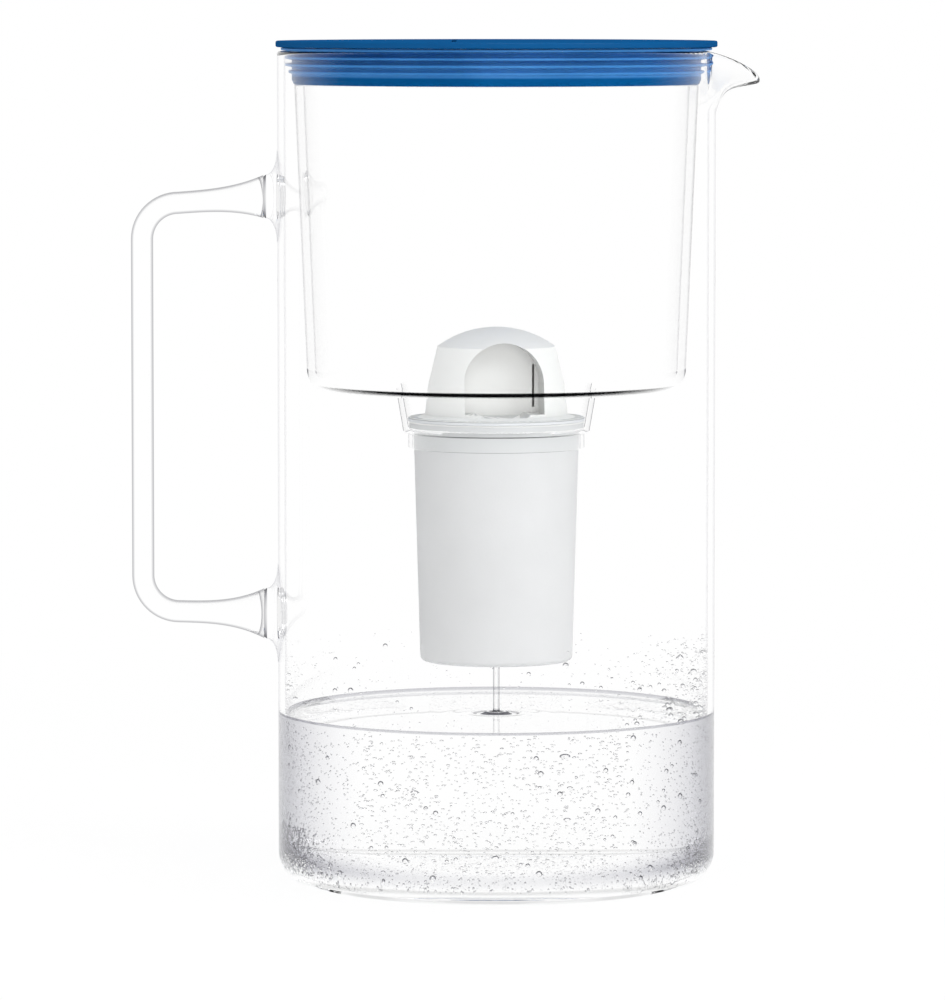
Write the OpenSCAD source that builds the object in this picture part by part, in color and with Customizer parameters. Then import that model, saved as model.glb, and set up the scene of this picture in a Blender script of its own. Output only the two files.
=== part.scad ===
// Glass water filter pitcher with a flip lid, in millimetres.
// The origin is the centre of the underside of the base, +Z is up, the spout points to +X and the handle to -X.
// A clear hopper hangs in the jug on its seal, the filter cartridge stands in the hopper's socket,
// and the lid closes the hopper.

/* [Jug] */
// Outer diameter of the glass body
jug_diameter = 132; // [124:1:150]
// Height of the rim above the table
jug_height = 250.8; // [235:0.2:280]
// Thickness of the glass wall
glass_wall = 2; // [1.6:0.1:2.8]
// Thickness of the glass base
base_thickness = 4.5; // [3:0.5:9]
// Outer radius of the corner between wall and base
base_corner = 9; // [6:0.5:14]
// Inner radius of the corner between wall and base
floor_corner = 10; // [6:0.5:16]

/* [Spout] */
// How far the lip stands out past the body
spout_reach = 13.2; // [9:0.2:18]
// How far the tip of the lip hangs below the rim
spout_drop = 9.8; // [6:0.2:11]
// Width of the spout where it leaves the body
spout_width = 38; // [30:1:44]
// Height of the spout's throat below the rim
spout_throat = 19; // [16:0.5:24]
// How quickly the throat turns into the lip, as a radius
spout_turn = 1.9; // [1.4:0.1:3]
// Thickness of the glass at the tip
spout_tip = 1.2; // [1:0.1:1.6]

/* [Handle] */
// Distance from the body to the outer face of the grip
handle_reach = 44.1; // [36:0.5:54]
// Height of the upper weld above the table
handle_top = 207; // [190:1:215]
// Height of the lower weld above the table
handle_bottom = 81; // [60:1:100]
// Thickness of the grip, seen from the side
grip_thickness = 6.7; // [5.5:0.1:9]
// Depth of the grip, across the hand
grip_depth = 11; // [9:0.5:15]
// Radius of the handle's bends, to the middle of the glass
handle_bend = 11; // [9:0.5:15]
// Radius of the upper weld
upper_weld_r = 6.5; // [5.5:0.1:8]
// Radius of the lower weld
lower_weld_r = 7.6; // [6:0.1:9]
// How far each weld stands out from the body
weld_reach = 4; // [3:0.5:6]

/* [Hopper] */
// Depth of the hopper, from the jug's rim to the underside of its floor
hopper_depth = 102; // [85:0.5:115]
// Wall of the hopper
hopper_wall = 2.6; // [2:0.1:2.8]
// Floor of the hopper
hopper_floor = 2.4; // [1.8:0.1:3.5]
// Draft angle of the hopper's wall, in degrees
hopper_draft = 2.3; // [1:0.1:3]
// Outer radius of the corner between wall and floor
hopper_corner = 7; // [5:0.5:10]
// Space between the jug's bore and the hopper's wall
seal_space = 3.2; // [3:0.1:4.5]
// Depth of the recess that holds the seal
seal_recess = 0.8; // [0.6:0.1:1]
// Thickness of the seal's band
seal_band = 1.5; // [1.2:0.1:1.8]
// Height of the seal's band, below the jug's rim
seal_height = 10; // [9:0.2:14]
// Distance between the sealing lips
lip_pitch = 2.1; // [1.8:0.1:2.6]
// How much shorter the lowest lip is
lip_step = 1.2; // [0.6:0.1:1.4]
// Number of sealing lips
seal_lips = 3; // [2:1:4]
// Thickness of the seal's flange, on the jug's rim
seal_flange = 0.8; // [0.6:0.1:1.4]

/* [Socket] */
// Depth of the socket's cone below the hopper's floor
socket_depth = 11.5; // [11:0.5:18]
// How much the socket's mouth is wider than its seat, in radius
socket_flare = 2; // [1.6:0.1:3]
// Wall of the socket
socket_wall = 1.6; // [1.2:0.1:2]
// Height of the collar below the seat
collar_height = 6; // [4:0.5:8]

/* [Cartridge] */
// Diameter of the cartridge cup under its flange
cup_diameter = 50; // [46:0.5:51]
// Diameter of the cartridge cup at its bottom
cup_bottom_diameter = 46; // [40:0.5:47]
// Length of the cartridge cup below its flange
cup_length = 70.6; // [60:0.2:75]
// Wall of the cup and its cap
cup_wall = 1.2; // [1:0.1:1.6]
// Diameter of the cartridge's flange
cartridge_flange_diameter = 52.6; // [52:0.2:56]
// Thickness of each half of the flange
flange_half = 1.6; // [1.4:0.1:2.2]
// Height of the dome above the flange
dome_height = 27.2; // [25:0.2:30]
// Rise of the dome's crown over its shoulder
crown_height = 5.8; // [5:0.2:8]
// Width of the finger scoops in the dome
scoop_width = 24; // [20:0.5:26]
// Thickness of the grip web between the scoops
grip_web = 11; // [9:0.5:14]
// Turn of the dome about the upright, in degrees
dome_turn = 8; // [0:1:45]
// Headroom over the filter medium, under the inlet mesh
media_headroom = 3.6; // [2:0.2:12]
// Thickness of the outlet fleece
fleece_thickness = 1.5; // [1:0.1:2.5]
// Thickness of the inlet mesh
mesh_thickness = 0.5; // [0.4:0.1:1]

/* [Lid] */
// Thickness of the lid's edge
lid_edge = 1.9; // [1.6:0.1:3]
// How far the lid's edge stands past the jug's body, in radius
lid_overhang = 0.4; // [0:0.1:1.5]
// Depth of the lid's skirt inside the hopper
skirt_depth = 8; // [6:0.5:9]
// Thickness of the lid's skirt
skirt_wall = 1.8; // [1.4:0.1:2.4]
// Width of the ledge under the flip lid
ledge_width = 3.6; // [2.6:0.2:5]

/* [Flip lid] */
// Distance of the hinge from the centre, towards the handle
hinge_offset = 10; // [6:0.5:14]
// Radius of the hinge barrel
barrel_r = 3; // [2.8:0.1:3.4]
// Length of each hinge boss, from the lid's skirt to the barrel
hinge_boss = 4.9; // [4:0.1:8]
// Diameter of the hinge pins
pin_diameter = 2.5; // [2:0.1:3]
// Length of each hinge pin held in its boss
pin_grip = 3.4; // [2.4:0.1:3.6]
// Length of each hinge pin in the barrel
pin_engagement = 8; // [6:0.5:12]
// Width of the lifting tab
tab_width = 16; // [12:1:20]

/* [Change indicator] */
// Distance of the indicator's middle from the lid's skirt
indicator_inset = 20.1; // [19:0.1:22]
// Outer diameter of the indicator's housing
indicator_diameter = 27; // [26:0.5:30]
// Diameter of the lit button
button_diameter = 10; // [8:0.5:11]
// Travel of the lit button
button_travel = 0.7; // [0.5:0.1:0.8]

/* [Clearances] */
// Gap between a part and what it rests on
seat_gap = 0.15; // [0.1:0.05:0.3]
// Gap round a part that slides in or out
slide_gap = 0.3; // [0.2:0.05:0.35]
// Gap between the seal's lips and the jug
lip_gap = 0.3; // [0.2:0.05:0.4]
// Gap between parts that stay together
fit_gap = 0.1; // [0.05:0.05:0.2]
// Running clearance of the hinge pins, in radius
pin_clearance = 0.05; // [0.02:0.01:0.1]

/* [Hidden] */
$fn = 96;

clear_glass = [0.86, 0.90, 0.92, 0.35];
clear_plastic = [0.88, 0.91, 0.93, 0.45];
lid_blue = [0.04, 0.31, 0.54];
seal_blue = [0.20, 0.42, 0.66];
cartridge_white = [0.93, 0.93, 0.94];
steel = [0.75, 0.76, 0.78];
through = 1; // how far a cutter runs past the face it opens
sink = 0.5;  // how far a joined form runs into its neighbour

// Jug and stack heights
jug_r = jug_diameter / 2;
bore_r = jug_r - glass_wall;
flange_z = jug_height + seat_gap;
flange_top = flange_z + seal_flange;
lid_z = flange_top + seat_gap;
lid_top = lid_z + lid_edge;

// Hopper
hopper_r = bore_r - seal_space;
rim_r = hopper_r - seal_recess;
band_z = jug_height - seal_height;
hopper_z = jug_height - hopper_depth;
hopper_foot_r = hopper_r - (band_z - hopper_z) * tan(hopper_draft);
bead = 0.5;
bead_height = 2;
bead_z = (band_z + jug_height) / 2;

// Cartridge and socket
cup_r = cup_diameter / 2;
cup_foot_r = cup_bottom_diameter / 2;
cartridge_flange_r = cartridge_flange_diameter / 2;
seat_r = cartridge_flange_r + slide_gap;
mouth_r = seat_r + socket_flare;
collar_bore_r = cup_r + slide_gap + 0.1;
seat_floor = 1.4;
ledge_z = hopper_z - socket_depth;
seat_z = ledge_z + seat_gap;
cup_z = seat_z - cup_length;
cup_floor = 1.4;
spigot_depth = 2;
mesh_z = seat_z + flange_half - spigot_depth - fit_gap - mesh_thickness;
media_z = cup_z + cup_floor + fleece_thickness + fit_gap;
media_depth = mesh_z - media_headroom - media_z;
cap_z = seat_z + flange_half;
dome_z = cap_z + flange_half;
dome_top = dome_z + dome_height;
neck_r = cartridge_flange_r - 4.8;
shoulder_r = neck_r - 3.7;

// Lid
lid_r = jug_r + lid_overhang;
skirt_r = hopper_r - hopper_wall - slide_gap;
skirt_bore_r = skirt_r - skirt_wall;
flap_r = skirt_bore_r - slide_gap - 0.1;
flap_z = lid_z - seat_gap / 2;
ledge_top = flap_z - seat_gap;
ledge_thickness = 1.8;
plate_bottom = ledge_top - sink;
opening_r = skirt_bore_r - ledge_width;
hinge_x = -hinge_offset;
barrel_length = 2 * (sqrt(pow(skirt_bore_r, 2) - pow(hinge_offset, 2)) - hinge_boss - slide_gap);
hinge_z = lid_top - barrel_r * 0.8;
barrel_gap = 0.4;
pin_r = pin_diameter / 2;
tab_reach = 3.4;
tab_thickness = 0.7;
scoop_depth = 1;

// Change indicator
indicator_x = -skirt_bore_r + indicator_inset;
housing_r = indicator_diameter / 2;
housing_wall = 1.1;
housing_top = plate_bottom - fit_gap;
button_r = button_diameter / 2;
button_flange_r = button_r + 1.2;
button_sink = 0.3;
board_thickness = 0.8;
cell_thickness = 2.5;
cell_r = 10;
cover_thickness = 1.2;
gasket_thickness = 0.4;
button_flange = 1;
button_z = housing_top - housing_wall - fit_gap - button_flange;
board_z = button_z - button_travel - 1 - board_thickness;
cell_z = board_z - fit_gap - cell_thickness;
gasket_z = cell_z - fit_gap;
cover_z = gasket_z - cover_thickness;

// Points of an arc round (x, z), from angle a to angle b
function arc(x, z, r, a, b, n = 8) = [for (i = [0 : n]) let (t = a + (b - a) * i / n) [x + r * cos(t), z + r * sin(t)]];

// Closed solid through rings of equally many points, with flat ends
module loft(rings) {
    n = len(rings[0]);
    last = len(rings) - 1;
    sides = [for (i = [0 : last - 1], j = [0 : n - 1]) let (k = (j + 1) % n)
        each [[i * n + j, i * n + k, (i + 1) * n + k], [i * n + j, (i + 1) * n + k, (i + 1) * n + j]]];
    ends = [[for (j = [n - 1 : -1 : 0]) j], [for (j = [0 : n - 1]) last * n + j]];
    polyhedron(points = [for (ring = rings) each ring], faces = concat(sides, ends), convexity = 6);
}

// Upright ring turned from a rectangle
module ring(inner, outer, z, height) {
    rotate_extrude() translate([inner, z]) square([outer - inner, height]);
}

// Glass jug

// Height of the lip's upper edge, out past the body by d
function lip_z(d) = let (u = max(d, 0) / spout_reach) jug_height - spout_drop * (0.55 * u + 0.45 * (1 - sqrt(1 - min(u * u, 1))));
// Height of the spout's underside
function under_z(d) = let (end = jug_height - spout_drop - spout_tip) end - (spout_throat - spout_drop - spout_tip) * exp(-max(d, 0) / spout_turn);
// Height of the trough's floor
function floor_z(d) = let (u = max(d, 0) / spout_reach) min(lip_z(min(d, spout_reach)) - 0.4,
    under_z(d + glass_wall) + glass_wall - (glass_wall - 0.7 * spout_tip) * pow(u, 1.5));
// Half width of the spout
function spout_half(d) = let (u = min(max((d + 2.8) / (spout_reach + 2.8), 0), 1)) spout_width / 2 * (0.38 + 0.62 * pow(1 - u, 1.2)) * sqrt(1 - pow(u, 9));

// Cross-section at d, for the outside, or for the trough when inner is 1
function spout_ring(d, inner, n = 14) =
    let (half = max(spout_half(d) - inner * glass_wall * 0.9, 0.5), low = inner > 0 ? floor_z(d) : under_z(d),
         high = lip_z(min(d, spout_reach)), top = high + (inner > 0 ? 2 * through : 0.01), x = jug_r + d)
    concat([for (i = [0 : n]) let (a = 180 * i / n) [x, half * cos(a), high - (high - low) * pow(sin(a), 0.8)]],
           [[x, -half, top], [x, half, top]]);

module spout_form(inner) {
    stations = concat([-5, inner > 0 ? -glass_wall : -2.8, -1, 0, 0.5, 1, 1.6, 2.4, 3.4, 4.8, 6.4, 8, 9.6, 11, 12, 12.7, 13.1],
        inner > 0 ? [14.4] : [13.2]);
    loft([for (d = stations) spout_ring(d > 0 ? d * spout_reach / 13.2 : d, inner)]);
}

// Flared boss that carries one end of the handle
module weld_boss(z, r) {
    flare = weld_reach * 1.85;
    base = -jug_r + glass_wall;
    end = -jug_r - weld_reach;
    curve = [for (p = arc(r + flare, 0, 1, 180, 270, 10)) [r + flare * (1 + (p[0] - r - flare)), (weld_reach + 1) * (1 + p[1])]];
    translate([end, 0, z]) rotate([0, 90, 0])
        rotate_extrude() polygon(concat([[0, 0], [r, 0]],
            [for (p = curve) if (p[0] > r) [p[0], weld_reach + 1 - p[1]]], [[r + flare, base - end], [0, base - end]]));
}

module glass_jug() {
    rim_round = glass_wall / 2;
    color(clear_glass) difference() {
        union() {
            rotate_extrude() polygon(concat([[0, 0]], arc(jug_r - base_corner, base_corner, base_corner, -90, 0, 10),
                arc(jug_r - rim_round, jug_height - rim_round, rim_round, 0, 90, 5), [[0, jug_height]]));
            spout_form(0);
            weld_boss(handle_top, upper_weld_r);
            weld_boss(handle_bottom, lower_weld_r);
        }
        rotate_extrude() polygon(concat([[0, base_thickness]],
            arc(bore_r - floor_corner, base_thickness + floor_corner, floor_corner, -90, 0, 10),
            arc(bore_r + rim_round, jug_height - rim_round, rim_round, 180, 90, 5),
            [[bore_r + rim_round, jug_height + through], [0, jug_height + through]]));
        spout_form(1);
    }
}

// Glass handle

module glass_handle() {
    weld_x = -jug_r - weld_reach;
    grip_x = -jug_r - handle_reach + grip_thickness / 2;
    bend_x = grip_x + handle_bend;
    arm = weld_x - bend_x;
    half = grip_thickness / 2;
    deep = grip_depth / 2;
    // Each station: x, z, direction in degrees, half thickness, half depth
    function flare(s) = pow(s, 3);
    upper = [for (i = [0 : 8]) let (s = 1 - i / 8)
        [bend_x + arm * s, handle_top - 1.9 * (1 - s), 180, half + (upper_weld_r - half) * flare(s), deep + (upper_weld_r - deep) * flare(s)]];
    lower = [for (i = [0 : 8]) let (s = i / 8)
        [bend_x + arm * s, handle_bottom + 0.6 * (1 - s), 0, half + (lower_weld_r - half) * flare(s), deep + (lower_weld_r - deep) * flare(s)]];
    top_z = handle_top - 1.9;
    low_z = handle_bottom + 0.6;
    bend_a = [for (i = [1 : 8]) let (a = 90 + 90 * i / 8)
        [bend_x + handle_bend * cos(a), top_z - handle_bend + handle_bend * sin(a), a + 90, half, deep]];
    bend_b = [for (i = [0 : 7]) let (a = 180 + 90 * i / 8)
        [bend_x + handle_bend * cos(a), low_z + handle_bend + handle_bend * sin(a), a + 90, half, deep]];
    color(clear_glass) loft([for (p = concat(upper, bend_a, bend_b, lower)) [for (j = [0 : 23]) let (a = 15 * j)
        [p[0] - sin(p[2]) * p[3] * cos(a), p[4] * sin(a), p[1] + cos(p[2]) * p[3] * cos(a)]]]);
}

// Hopper

// Outline of the hopper's outside, or of its inside when inset is the wall
function hopper_side(inset, floor_z, corner, top) = concat(
    [[0, floor_z]],
    arc(hopper_foot_r + corner * tan(hopper_draft) - inset - corner, floor_z + corner, corner, -90, -hopper_draft, 8),
    inset > 0 ? [[hopper_r - inset, band_z], [hopper_r - inset, top], [0, top]]
              : [[hopper_r, band_z - fit_gap], [rim_r, band_z - fit_gap], [rim_r, top], [0, top]]);

module hopper() {
    color(clear_plastic) difference() {
        union() {
            rotate_extrude() polygon(hopper_side(0, hopper_z, hopper_corner, flange_top));
            ring(rim_r - sink, rim_r + bead, bead_z - bead_height / 2, bead_height);
            rotate_extrude() polygon([[0, hopper_z + sink], [mouth_r + socket_wall, hopper_z + sink],
                [mouth_r + socket_wall, hopper_z], [seat_r + socket_wall, ledge_z - seat_floor + 1],
                [seat_r + socket_wall - 0.8, ledge_z - seat_floor], [collar_bore_r + cup_wall, ledge_z - seat_floor],
                [collar_bore_r + cup_wall, ledge_z - collar_height], [0, ledge_z - collar_height]]);
        }
        rotate_extrude() polygon(hopper_side(hopper_wall, hopper_z + hopper_floor, hopper_corner - hopper_wall, flange_top + through));
        rotate_extrude() polygon([[0, ledge_z], [seat_r, ledge_z], [mouth_r, hopper_z],
            [mouth_r + 0.4, hopper_z + hopper_floor + through], [0, hopper_z + hopper_floor + through]]);
        translate([0, 0, ledge_z - collar_height - through]) cylinder(r = collar_bore_r, h = collar_height + 2 * through);
    }
}

module hopper_seal() {
    lip = 1.2;
    band_in = rim_r + fit_gap;
    band_out = rim_r + seal_band;
    flange_r = bore_r + 0.8;
    color(seal_blue) difference() {
        union() {
            rotate_extrude() polygon([[band_in, band_z], [band_out - 0.6, band_z], [band_out, band_z + 1.4],
                [band_out, flange_top], [band_in, flange_top]]);
            ring(band_out - sink, flange_r, flange_z, seal_flange);
            for (i = [0 : seal_lips - 1])
                let (tip_r = bore_r - lip_gap - (i == seal_lips - 1 ? lip_step : 0))
                    rotate_extrude() translate([0, jug_height - 2 - lip_pitch * i])
                        polygon([[band_out - sink, -0.6 * lip], [band_out, -0.6 * lip], [tip_r, -0.25 * lip], [tip_r, 0.25 * lip],
                                 [band_out, lip * 0.4], [band_out - sink, lip * 0.4]]);
        }
        ring(rim_r - sink, rim_r + bead + fit_gap, bead_z - bead_height / 2 - fit_gap, bead_height + 2 * fit_gap);
    }
}

// Lid

module lid() {
    edge_round = 0.5;
    plate_x = hinge_x - barrel_r - barrel_gap;
    boss_y = barrel_length / 2 + slide_gap;
    color(lid_blue) difference() {
        union() {
            rotate_extrude() polygon(concat([[skirt_bore_r, lid_z], [lid_r - edge_round, lid_z]],
                arc(lid_r - edge_round, lid_z + edge_round, edge_round, -90, 0, 4),
                arc(lid_r - edge_round, lid_top - edge_round, edge_round, 0, 90, 4), [[skirt_bore_r, lid_top]]));
            ring(skirt_bore_r, skirt_r, lid_z - skirt_depth, skirt_depth + sink);
            ring(opening_r, skirt_bore_r + sink, ledge_top - ledge_thickness, ledge_thickness);
            intersection() {
                translate([0, 0, plate_bottom]) cylinder(r = skirt_bore_r + sink, h = lid_top - plate_bottom);
                translate([-2 * jug_r + plate_x, -jug_r, plate_bottom]) cube([2 * jug_r, jug_diameter, lid_top - plate_bottom]);
            }
            intersection() {
                ring(opening_r - ledge_width, skirt_bore_r + sink, hinge_z - barrel_r, lid_top - hinge_z + barrel_r);
                for (side = [-1, 1])
                    translate([plate_x - 1, side > 0 ? boss_y : -boss_y - jug_r, hinge_z - barrel_r])
                        cube([barrel_r + barrel_gap + 1 + barrel_r * 0.76, jug_r, 2 * barrel_r + through]);
            }
        }
        for (side = [-1, 1]) // bores for the hinge pins
            translate([hinge_x, side * (boss_y + 4) - 4.6, hinge_z]) rotate([-90, 0, 0])
                cylinder(r = pin_r + pin_clearance / 2, h = 9.2);
        translate([plate_x, -boss_y, hinge_z - barrel_r - through]) // the way round the barrel
            cube([barrel_gap + barrel_r * 1.8, 2 * boss_y, 2 * barrel_r + 3 * through]);
        translate([indicator_x, 0, plate_bottom - through]) cylinder(r = button_r + slide_gap / 2, h = lid_top - plate_bottom + 2 * through);
        translate([skirt_bore_r - 2 * through, -tab_width / 2 - slide_gap, lid_top - scoop_depth]) // finger scoop
            cube([tab_reach + slide_gap + 2 * through, tab_width + 2 * slide_gap, scoop_depth + through]);
        translate([skirt_bore_r + tab_reach - 1, 0, lid_top - scoop_depth]) cylinder(r = tab_width / 3, h = scoop_depth + through);
    }
}

module flip_lid() {
    step_x = hinge_x + barrel_r + 1;
    rib_r = opening_r - 1;
    color(lid_blue) difference() {
        union() {
            intersection() {
                translate([0, 0, flap_z]) cylinder(r = flap_r, h = lid_top - flap_z);
                union() {
                    translate([step_x, -jug_r, flap_z]) cube([jug_diameter, jug_diameter, lid_top - flap_z]);
                    translate([hinge_x, -barrel_length / 2, flap_z]) cube([jug_diameter, barrel_length, lid_top - flap_z]);
                }
            }
            intersection() {
                ring(rib_r - 1.4, rib_r, flap_z - 2.4, 2.4 + sink);
                translate([step_x + 4, -jug_r, 0]) cube([jug_diameter, jug_diameter, lid_top]);
            }
            translate([hinge_x, -barrel_length / 2, hinge_z]) rotate([-90, 0, 0]) cylinder(r = barrel_r, h = barrel_length);
            translate([flap_r - 1, -tab_width / 2, lid_top - tab_thickness]) cube([1 + tab_reach - slide_gap, tab_width, tab_thickness]);
        }
        translate([hinge_x - jug_r, -jug_r, lid_top]) cube([2 * jug_diameter, jug_diameter, 2 * barrel_r]);
        for (side = [-1, 1])
            translate([hinge_x, side * (barrel_length / 2 - pin_engagement / 2 + through) - pin_engagement / 2 - through, hinge_z])
                rotate([-90, 0, 0]) cylinder(r = pin_r + pin_clearance, h = pin_engagement + 2 * through);
    }
}

module hinge_pins() {
    length = pin_engagement + slide_gap + pin_grip;
    color(steel) for (side = [-1, 1])
        translate([hinge_x, side * (barrel_length / 2 - pin_engagement + length / 2) - length / 2, hinge_z])
            rotate([-90, 0, 0]) cylinder(r = pin_r, h = length);
}

// Change indicator, under the fixed half of the lid

module indicator_housing() {
    color(cartridge_white) translate([indicator_x, 0, 0]) difference() {
        translate([0, 0, gasket_z + gasket_thickness]) cylinder(r = housing_r, h = housing_top - gasket_z - gasket_thickness);
        translate([0, 0, gasket_z]) cylinder(r = housing_r - housing_wall, h = housing_top - housing_wall - gasket_z);
        translate([0, 0, gasket_z]) cylinder(r = button_r + slide_gap / 2, h = housing_top - gasket_z + through);
    }
}

module indicator_cover() {
    spigot_r = housing_r - housing_wall - fit_gap;
    color(cartridge_white) translate([indicator_x, 0, 0]) {
        translate([0, 0, cover_z]) cylinder(r = housing_r, h = cover_thickness);
        ring(spigot_r - 0.9, spigot_r, gasket_z - sink, sink + gasket_thickness + 0.8);
    }
}

module indicator_gasket() {
    color("dimgray") translate([indicator_x, 0, 0])
        ring(housing_r - housing_wall, housing_r - fit_gap, gasket_z, gasket_thickness);
}

module indicator_button() {
    color("white") translate([indicator_x, 0, 0]) {
        translate([0, 0, button_z]) cylinder(r = button_flange_r, h = button_flange);
        translate([0, 0, button_z + button_flange - sink])
            cylinder(r = button_r, h = lid_top - button_sink - button_z - button_flange + sink);
    }
}

module indicator_board() {
    color("seagreen") translate([indicator_x, 0, board_z]) cylinder(r = housing_r - housing_wall - slide_gap, h = board_thickness);
}

module indicator_led() {
    led = [1.6, 0.8, 0.6];
    color("white") translate([indicator_x + 3.4, -led[1] / 2, board_z + board_thickness]) cube(led);
}

module switch_dome() {
    color(steel) translate([indicator_x, 0, board_z + board_thickness]) {
        cylinder(r = 2.2, h = 0.5);
        translate([0, 0, 0.5]) cylinder(r1 = 1.6, r2 = 1, h = 0.4);
    }
}

module coin_cell() {
    color(steel) translate([indicator_x, 0, cell_z]) {
        cylinder(r = cell_r - 0.6, h = 0.5);
        translate([0, 0, 0.5]) cylinder(r = cell_r, h = cell_thickness - 0.5);
    }
}

// Filter cartridge

// Radius of the cup's outside at height z
function cup_side(z) = cup_foot_r + (cup_r - cup_foot_r) * (z - cup_z) / cup_length;

module cartridge_cup() {
    foot = 1.6;
    slots = 8;
    color(cartridge_white) difference() {
        union() {
            rotate_extrude() polygon(concat([[0, cup_z]], arc(cup_foot_r - foot, cup_z + foot, foot, -90, 0, 5),
                [[cup_r, seat_z], [0, seat_z]]));
            translate([0, 0, seat_z - sink]) cylinder(r = cup_r, h = sink + flange_half);
            translate([0, 0, seat_z]) cylinder(r = cartridge_flange_r, h = flange_half);
        }
        rotate_extrude() polygon([[0, cup_z + cup_floor], [cup_side(cup_z + cup_floor) - cup_wall - 0.4, cup_z + cup_floor],
            [cup_r - cup_wall, seat_z], [cup_r - cup_wall, cap_z + through], [0, cap_z + through]]);
        translate([0, 0, cup_z - through]) cylinder(r = 1.5, h = cup_floor + 2 * through);
        for (i = [0 : slots - 1]) rotate([0, 0, 360 / slots * (i + 0.5)])
            translate([6, -1, cup_z - through]) cube([cup_foot_r - 12, 2, cup_floor + 2 * through]);
    }
}

// Solid form of the dome, smaller all round by inset
module dome_form(inset) {
    crown = (shoulder_r * shoulder_r + crown_height * crown_height) / (2 * crown_height);
    spread = asin(shoulder_r / crown);
    difference() {
        rotate_extrude() polygon(concat([[0, cap_z - through]], [[neck_r - inset, cap_z - through], [neck_r - inset, dome_z + 1.2],
            [neck_r - 1 - inset, dome_z + 10]], arc(0, dome_top - crown, crown - inset, 90 - spread, 90, 8)));
        for (side = [-1, 1]) rotate([90, 0, 0]) translate([0, 0, side > 0 ? grip_web / 2 - inset : -2 * neck_r - grip_web / 2 + inset])
            linear_extrude(height = 2 * neck_r) {
                translate([0, dome_z + scoop_width / 2 - 1]) circle(r = scoop_width / 2 + inset);
                translate([-scoop_width / 2 - inset, dome_z + 1.6 - inset]) square([scoop_width + 2 * inset, scoop_width / 2 - 2.6 + inset]);
            }
    }
}

module cartridge_cap() {
    spigot_r = cup_r - cup_wall - fit_gap;
    slit = 0.7;
    color(cartridge_white) rotate([0, 0, dome_turn]) difference() {
        union() {
            translate([0, 0, cap_z]) cylinder(r = cartridge_flange_r, h = flange_half);
            translate([0, 0, dome_z - sink]) cylinder(r1 = cartridge_flange_r - 1, r2 = neck_r, h = sink + 0.8);
            difference() {
                dome_form(0);
                translate([0, 0, cap_z - 2 * through]) cylinder(r = 2 * neck_r, h = 2 * through);
            }
            translate([0, 0, cap_z - spigot_depth]) cylinder(r = spigot_r, h = spigot_depth + sink);
        }
        intersection() {
            dome_form(cup_wall);
            translate([0, 0, cap_z - through]) cylinder(r = 2 * neck_r, h = dome_height + 10);
        }
        translate([0, 0, cap_z - spigot_depth - through]) cylinder(r = spigot_r - cup_wall, h = spigot_depth + through + flange_half - cup_wall);
        ring(cartridge_flange_r - 0.9, cartridge_flange_r + through, cap_z + 0.4, 0.8 + 2 * fit_gap); // groove of the seal
        for (turn = [0, 180]) rotate([0, 0, turn])
            translate([scoop_width / 2 - 1.6 - slit / 2, -grip_web / 2 - through, dome_z + 3.2]) cube([slit, 2 * cup_wall + through, 13]);
    }
}

module cartridge_seal() {
    lip_z = cap_z + 0.4 + fit_gap;
    tip_r = seat_r + socket_flare * (lip_z - ledge_z) / socket_depth - lip_gap;
    color("whitesmoke") ring(cartridge_flange_r - 0.9 + fit_gap, tip_r, lip_z, 0.8);
}

module inlet_mesh() {
    mesh_r = cup_r - cup_wall - 0.6;
    pitch = 5.4;
    color("gainsboro") translate([0, 0, mesh_z]) difference() {
        cylinder(r = mesh_r, h = mesh_thickness);
        for (row = [-4 : 4], col = [-4 : 4])
            if (norm([(col + row / 2) * pitch, row * pitch * sin(60)]) < mesh_r - pitch / 2)
                translate([(col + row / 2) * pitch, row * pitch * sin(60), -through]) cylinder(r = pitch * 0.36, h = mesh_thickness + 2 * through);
    }
}

module outlet_fleece() {
    color("white") translate([0, 0, cup_z + cup_floor])
        cylinder(r = cup_side(cup_z + cup_floor) - cup_wall - 0.4 - fit_gap, h = fleece_thickness);
}

module filter_media() {
    color("dimgray") translate([0, 0, media_z])
        cylinder(r1 = cup_side(media_z) - cup_wall - 0.4 - fit_gap, r2 = cup_side(media_z + media_depth) - cup_wall - fit_gap - 0.1, h = media_depth);
}

glass_jug();
glass_handle();
hopper();
hopper_seal();
lid();
flip_lid();
hinge_pins();
indicator_housing();
indicator_cover();
indicator_gasket();
indicator_button();
indicator_board();
indicator_led();
switch_dome();
coin_cell();
cartridge_cup();
cartridge_cap();
cartridge_seal();
inlet_mesh();
outlet_fleece();
filter_media();
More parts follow.
